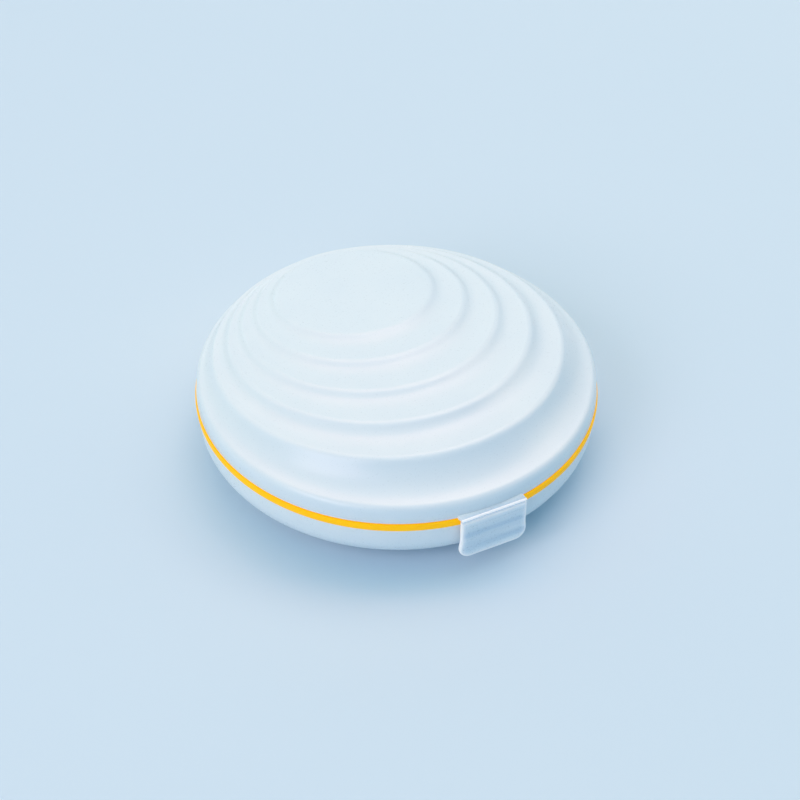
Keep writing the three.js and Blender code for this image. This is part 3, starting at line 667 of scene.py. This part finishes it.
def flap_mesh():
    """The flap as a front and a back sheet of points that meet in its round edge."""
    corner = flap_foot + FLAP_CORNER
    rows = [flap_top - d for d in EDGE_STATIONS]
    rows += [rows[-1] + (corner - rows[-1]) * step / 40 for step in range(1, 41)]
    rows += [corner - FLAP_CORNER * math.sin(math.radians(90 * step / 16)) for step in range(1, 17)]
    edge = EDGE_STATIONS + (0.6, 0.8, 1.0)
    points, front, back = [], {}, {}
    columns = 2 * len(edge) + 24
    for row, z in enumerate(rows):
        half = flap_half_width(z)
        inner = half - edge[-1]
        xs = [-(half - d) for d in edge] + [-inner + 2 * inner * step / 25 for step in range(1, 25)]
        xs += [half - d for d in reversed(edge)]
        for column, x in enumerate(xs):
            depth = min(1, flap_edge_distance(x, z) / FLAP_EDGE)
            round_off = (1 - (1 - depth) ** EDGE_ROUNDNESS) ** (1 / EDGE_ROUNDNESS)
            middle = (STRAP_INNER + STRAP_OUTER) / 2 + FLAP_LEAN * near_foot(z)
            share = (flap_top - RIB_HEIGHT - z) / RIB_ZONE
            swell = 0.0
            if 0 < share < 1:
                swell = RIB_HEIGHT * (0.5 - 0.5 * math.cos(2 * math.pi * RIB_COUNT * share))
                swell *= min(1, max(0, flap_edge_distance(x, z) - RIM_WIDTH) / RIM_WIDTH)
            front[row, column] = len(points)
            points.append((x, middle - (STRAP_THICKNESS / 2 + swell) * round_off, z))
            if depth < 1e-6:
                back[row, column] = front[row, column]
            else:
                back[row, column] = len(points)
                points.append((x, middle + STRAP_THICKNESS / 2 * round_off, z))
    faces = []
    for row in range(len(rows) - 1):
        for column in range(columns - 1):
            for sheet, order in ((front, 1), (back, -1)):
                face = [sheet[row, column], sheet[row + 1, column],
                        sheet[row + 1, column + 1], sheet[row, column + 1]]
                face = list(dict.fromkeys(face))
                if len(face) > 2:
                    faces.append(face[::order])
    return new_piece("strap_flap", points, faces)


flap = flap_mesh()
# The flap is painted pale and glowing near its outline, a painted edge glow that fades over 1.4 mm.
mark_painted_edge_glow(flap, lambda x, y, z: max(0, 1 - flap_edge_distance(x, z) / EDGE_LIGHT_REACH) ** 2)
flap.data.materials.append(frosted)
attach(flap, "latch")
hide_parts("latch_flap")

hook_top = CATCH_FOOT - HOOK_GAP
hook_root = STRAP_INNER - STRAP_THICKNESS / 2
hook = drawn_across("strap_hook", [
    (hook_root, hook_top), (STRAP_INNER + HOOK_REACH, hook_top),
    (STRAP_INNER + HOOK_REACH, hook_top - HOOK_HEIGHT / 3),
    (hook_root, hook_top - HOOK_HEIGHT - HOOK_REACH),
], HOOK_WIDTH, edge=0.12)
hook.data.materials.append(frosted)
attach(hook, "latch")


# Integral hinge: the thin film of the same moulding that joins the strap's two ends; on the real
# strap it bends when the flap swings, and here it is drawn straight. It lies a little behind their
# front faces and so leaves a groove.
FILM_FRONT = STRAP_OUTER + 0.45
FILM_BACK = FILM_FRONT + 0.25
FILM_ROOT = 0.12
FILM_STEPS = 10
film_top = root_foot + FILM_ROOT
film_foot = flap_top - FILM_ROOT
film_levels = [film_top + (film_foot - film_top) * step / FILM_STEPS for step in range(FILM_STEPS + 1)]
film = drawn_across("strap_film", [
    *[(FILM_FRONT, z) for z in film_levels], *[(FILM_BACK, z) for z in reversed(film_levels)],
], STRAP_WIDTH - 0.5, edge=0)
film.data.materials.append(frosted)
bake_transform(film)


# Day tray: a white polypropylene insert with seven equal wedge compartments round a hub. It
# drops into the bowl, and each compartment's floor turns up into its walls.
TRAY_WALL = 1.1
TRAY_RIM = BASE_HEIGHT - 0.5
TRAY_FOOT = BOWL_WALL + 0.15
TRAY_FLOOR = TRAY_FOOT + 1.2
TRAY_INSET = BOWL_WALL + 0.4
DAYS = 7
DAY_WALL = 1.3
DAY_CORNER = 1.6
HUB_RADIUS = 8.0
DAY_REACH = BOWL_RIM_RADIUS - TRAY_INSET - TRAY_WALL

tray = turned("day_tray", eased([
    (0, TRAY_FOOT, 0), *bowl_turn(TRAY_INSET, TRAY_FOOT),
    (BOWL_RIM_RADIUS - TRAY_INSET, TRAY_RIM, 0.3), (0, TRAY_RIM, 0),
]), 168)


def wedge_outline(inner, outer, wall, corner):
    """A compartment's plan: a sector with parallel dividers and round corners."""
    half = math.pi / DAYS
    def spot(radius, turn):
        lean = half - math.asin(wall / 2 / radius)
        return (radius * math.sin(turn * lean), -radius * math.cos(turn * lean), corner)
    arcs = [spot(outer, -1 + step / 12)[:2] + (0,) for step in range(1, 24)]
    back = [spot(inner, 1 - step / 4)[:2] + (0,) for step in range(1, 8)]
    return eased([spot(inner, -1), spot(outer, -1), *arcs, spot(outer, 1), spot(inner, 1), *back], 6)


def upright_prism(name, outline, bottom, top, turn=0.0):
    """An (x, y) outline drawn up between two levels, turned about the upright axis."""
    count = len(outline)
    points = []
    for level in (bottom, top):
        for x, y in outline:
            across = x * math.cos(turn) - y * math.sin(turn)
            points.append((across, x * math.sin(turn) + y * math.cos(turn), level))
    faces = [list(range(count)), list(range(2 * count - 1, count - 1, -1))]
    faces += [[i, i + count, (i + 1) % count + count, (i + 1) % count] for i in range(count)]
    return new_piece(name, points, faces)


hollow = [
    (0, TRAY_FLOOR), *[(r, z) for r, z, _ in bowl_turn(TRAY_INSET + TRAY_WALL, TRAY_FLOOR)],
    (BOWL_RIM_RADIUS - TRAY_INSET - TRAY_WALL, TRAY_RIM + 1), (0, TRAY_RIM + 1),
]
for day in range(DAYS):
    wedge = upright_prism("day", wedge_outline(HUB_RADIUS, DAY_REACH, DAY_WALL, DAY_CORNER),
                          TRAY_FLOOR - 1, TRAY_RIM + 2, 2 * math.pi * day / DAYS)
    cut(wedge, turned("hollow", hollow, 168), "INTERSECT")
    cut(tray, wedge)


def soften(piece, width, steps=3):
    """Rounds the sharp edges that cutting has left. The flat faces beside them stay flat."""
    ease = piece.modifiers.new("soften", "BEVEL")
    ease.width = width * MM
    ease.segments = steps
    ease.limit_method = "ANGLE"
    ease.angle_limit = math.radians(35)
    ease.harden_normals = True
    bpy.context.view_layer.update()
    result = bpy.data.meshes.new_from_object(piece.evaluated_get(bpy.context.evaluated_depsgraph_get()))
    piece.modifiers.remove(ease)
    piece.data = result


soften(tray, 0.3)


# White polypropylene: waxy and soft to the eye, with a slight cloudiness and a satin skin.
white_polypropylene, tree, place = start_material("moulded polypropylene, white")
cloud = add(tree, "ShaderNodeTexNoise", {"Vector": place, "Scale": 1 / (8 * MM), "Detail": 2.0})
skin = add(tree, "ShaderNodeTexNoise", {"Vector": place, "Scale": 1 / (0.4 * MM), "Detail": 2.0})
satin = add(tree, "ShaderNodeMapRange", {
    "Value": skin, "From Min": 0.3, "From Max": 0.7, "To Min": 0.38, "To Max": 0.5,
})
colour = add(tree, "ShaderNodeMix", {
    FACTOR: cloud, FIRST: linear("#F6F9FB"), SECOND: linear("#EBF1F6"),
}, data_type="RGBA").outputs[MIXED]
texture = add(tree, "ShaderNodeBump", {"Height": skin, "Strength": 0.1, "Distance": 0.02 * MM})
add(tree, "ShaderNodeOutputMaterial", {"Surface": add(tree, "ShaderNodeBsdfPrincipled", {
    "Base Color": colour, "Roughness": satin, "Normal": texture, "IOR": 1.49,
    "Subsurface Weight": 0.25, "Subsurface Scale": 1.0 * MM, "Subsurface Radius": (1.0, 1.0, 1.0),
})})
tray.data.materials.clear()
tray.data.materials.append(white_polypropylene)
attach(tray, "base")
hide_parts("compartment_tray")


# Clear cover: a flat polystyrene disc with one window the shape of a compartment and a low
# finger rib. It turns on the rivet, so that only one day is open at a time.
COVER_FOOT = TRAY_RIM + 0.3
COVER_THICKNESS = 1.2
COVER_TOP = COVER_FOOT + COVER_THICKNESS
COVER_RADIUS = SEAM_RADIUS - RING_BAND - 1.5
SHANK_RADIUS = 1.6
GRIP_LENGTH = 16.0
GRIP_WIDTH = 2.4
GRIP_HEIGHT = 1.3
WINDOW_INSET = 1.2
cover_hole = SHANK_RADIUS + 0.2
cover = turned("window_disc", [
    (cover_hole, COVER_FOOT), (COVER_RADIUS, COVER_FOOT),
    (COVER_RADIUS, COVER_TOP), (cover_hole, COVER_TOP),
], 168)
window_reach = BOWL_WAIST_RADIUS - TRAY_INSET - TRAY_WALL - WINDOW_INSET
cut(cover, upright_prism("window", wedge_outline(
    HUB_RADIUS + WINDOW_INSET, window_reach, DAY_WALL + 2 * WINDOW_INSET, DAY_CORNER,
), COVER_FOOT - 1, COVER_TOP + 1))
soften(cover, 0.2)


def grip_mesh(levels=9, steps=64):
    """A long low dome, round at both ends."""
    points, faces = [], []
    middle_y = (HUB_RADIUS + COVER_RADIUS) / 2
    for level in range(levels):
        lift = math.sin(math.radians(90 * level / levels))
        shrink = math.cos(math.radians(90 * level / levels))
        for step in range(steps):
            angle = 2 * math.pi * step / steps
            half_width = GRIP_WIDTH / 2 * (0.25 + 0.75 * shrink)
            half_length = GRIP_LENGTH / 2 - GRIP_WIDTH / 2 + half_width
            points.append((half_width * math.cos(angle), middle_y + half_length * math.sin(angle),
                           COVER_TOP - 0.3 + (GRIP_HEIGHT + 0.3) * lift))
    for level in range(levels - 1):
        for step in range(steps):
            along = (step + 1) % steps
            faces.append([level * steps + step, level * steps + along,
                          (level + 1) * steps + along, (level + 1) * steps + step])
    faces.append(list(range(steps - 1, -1, -1)))
    faces.append([(levels - 1) * steps + step for step in range(steps)])
    return new_piece("cover_grip", points, faces)


grip = grip_mesh()


# Clear polystyrene: water-clear and glossy, with faint flow waves that bend reflections. It
# casts no shadow here, as nine tenths of the light goes through it to the tray.
clear, tree, place = start_material("clear polystyrene")
waves = add(tree, "ShaderNodeTexNoise", {"Vector": place, "Scale": 1 / (7 * MM), "Detail": 1.0})
scuffs = add(tree, "ShaderNodeTexNoise", {"Vector": place, "Scale": 1 / (0.5 * MM), "Detail": 3.0})
gloss = add(tree, "ShaderNodeMapRange", {
    "Value": scuffs, "From Min": 0.3, "From Max": 0.7, "To Min": 0.03, "To Max": 0.1,
})
surface = add(tree, "ShaderNodeBump", {"Height": waves, "Strength": 0.1, "Distance": 0.05 * MM})
add(tree, "ShaderNodeOutputMaterial", {"Surface": add(tree, "ShaderNodeBsdfPrincipled", {
    "Base Color": linear("#F3F8FC"), "Roughness": gloss, "Normal": surface, "IOR": 1.59,
    "Transmission Weight": 0.95,
})})
for clear_piece in (cover, grip):
    clear_piece.data.materials.clear()
    clear_piece.data.materials.append(clear)
    clear_piece.visible_shadow = False
    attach(clear_piece, "cover")
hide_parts("window_cover")


# Hub rivet: a snap rivet of the tray's white polypropylene with a low domed head, pressed
# into the hub so that the cover can't lift but still turns.
RIVET_HEAD = 4.4
RIVET_HEIGHT = 1.1
SHANK_LENGTH = 7.0
rivet_foot = COVER_TOP + 0.2
shank_foot = rivet_foot - SHANK_LENGTH
rivet = turned("rivet", eased([
    (0, shank_foot, 0), (SHANK_RADIUS, shank_foot, 0.3), (SHANK_RADIUS, rivet_foot, 0.1),
    (RIVET_HEAD, rivet_foot, 0.12),
    *[(r, z, 0) for r, z in ellipse_arc((0, rivet_foot), (RIVET_HEAD, RIVET_HEIGHT), 14, 89, 14)],
    (0, rivet_foot + RIVET_HEIGHT, 0),
]), 72)
rivet.data.materials.append(white_polypropylene)
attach(rivet, "base")
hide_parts("hub_rivet")


# Floor: smooth pale blue background paper, wide enough to fill every view, with a tooth of
# about 0.8 mm and a faint unevenness in its colour.
FLOOR_HALF = 3000.0
floor = new_piece("floor", [
    (-FLOOR_HALF, -FLOOR_HALF, 0), (FLOOR_HALF, -FLOOR_HALF, 0),
    (FLOOR_HALF, FLOOR_HALF, 0), (-FLOOR_HALF, FLOOR_HALF, 0),
], [[0, 1, 2, 3]])
paper, tree, place = start_material("background paper, pale blue")
cloud = add(tree, "ShaderNodeTexNoise", {"Vector": place, "Scale": 1 / (120 * MM), "Detail": 2.0})
tooth = add(tree, "ShaderNodeTexNoise", {"Vector": place, "Scale": 1 / (0.8 * MM), "Detail": 2.0})
matt = add(tree, "ShaderNodeMapRange", {
    "Value": tooth, "From Min": 0.3, "From Max": 0.7, "To Min": 0.8, "To Max": 0.9,
})
colour = add(tree, "ShaderNodeMix", {
    FACTOR: cloud, FIRST: linear("#D6E6F3"), SECOND: linear("#D3E4F2"),
}, data_type="RGBA").outputs[MIXED]
texture = add(tree, "ShaderNodeBump", {"Height": tooth, "Strength": 0.05, "Distance": 0.02 * MM})
add(tree, "ShaderNodeOutputMaterial", {"Surface": add(tree, "ShaderNodeBsdfPrincipled", {
    "Base Color": colour, "Roughness": matt, "Normal": texture, "IOR": 1.45,
})})
floor.data.materials.append(paper)


# Camera: a short telephoto above the box, looking down at it from the front left.
CAMERA_DISTANCE = 528.0
azimuth, elevation, roll = math.radians(-26.9), math.radians(41.56), math.radians(0.36)
back = Vector((math.sin(azimuth) * math.cos(elevation), -math.cos(azimuth) * math.cos(elevation),
               math.sin(elevation)))
camera = bpy.data.objects.new("camera", bpy.data.cameras.new("camera"))
camera.data.lens = 108.5
camera.data.sensor_width = 36
camera.data.shift_x = 0.0044
camera.data.shift_y = -0.0165
camera.location = Vector((0, 0, SEAM_LEVEL * MM)) + CAMERA_DISTANCE * MM * back
camera.rotation_euler = (back.to_track_quat("Z", "Y").to_matrix() @ Matrix.Rotation(roll, 3, "Z")).to_euler()
bpy.context.scene.collection.objects.link(camera)
bpy.context.scene.camera = camera


# Light: a warm window at the left, a soft box and a strip high behind the box that put the
# sheen on the crests, weaker fills, and a pale sky that grows bluer towards the front right.
LAMP_DISTANCE = 1.5


def soft_box(name, turn, height, size, power, colour):
    """A rectangular lamp that faces the box, at a compass angle and a height in degrees."""
    turn, height = math.radians(turn), math.radians(height)
    lamp = bpy.data.objects.new(name, bpy.data.lights.new(name, "AREA"))
    lamp.data.shape = "RECTANGLE"
    lamp.data.size, lamp.data.size_y = size
    lamp.data.energy = power
    lamp.data.color = colour
    lamp.location = LAMP_DISTANCE * Vector((
        math.sin(turn) * math.cos(height), math.cos(turn) * math.cos(height), math.sin(height),
    ))
    lamp.rotation_euler = lamp.location.to_track_quat("Z", "Y").to_euler()
    bpy.context.scene.collection.objects.link(lamp)


soft_box("left window", 246, 35, (0.9, 0.9), 8.0, (1.0, 0.77, 0.8))
soft_box("back soft box", 27, 60, (1.0, 1.0), 4.4, (1.0, 0.67, 0.535))
soft_box("back strip", 27, 70, (2.4, 0.5), 2.9, (1.0, 0.21, 0.12))
soft_box("back low box", 27, 22, (2.4, 0.6), 2.1, (0.45, 0.73, 0.97))
soft_box("back right fill", 72, 60, (0.9, 0.9), 3.4, (1.0, 0.86, 0.72))
soft_box("right fill", 95, 35, (0.9, 0.9), 3.2, (1.0, 0.77, 0.46))
soft_box("overhead", 0, 90, (1.0, 1.0), 1.8, (0.93, 0.97, 0.96))
world = bpy.data.worlds.new("pale sky")
world.use_nodes = True
sky = world.node_tree
direction = add(sky, "ShaderNodeTexCoord").outputs["Generated"]
across = add(sky, "ShaderNodeVectorMath", {0: direction, 1: (-0.778, 0.63, 0.0)}, operation="DOT_PRODUCT")
leftness = add(sky, "ShaderNodeMapRange", {
    "Value": across.outputs["Value"], "From Min": -1.0, "From Max": 1.0,
})
sky_colour = add(sky, "ShaderNodeMix", {
    FACTOR: leftness, FIRST: (0.02, 0.25, 0.455, 1.0), SECOND: (0.44, 0.662, 0.61, 1.0),
}, data_type="RGBA").outputs[MIXED]
sky.links.new(sky_colour, sky.nodes["Background"].inputs["Color"])
sky.nodes["Background"].inputs["Strength"].default_value = 1.0
bpy.context.scene.world = world
bpy.context.scene.view_settings.view_transform = "Standard"
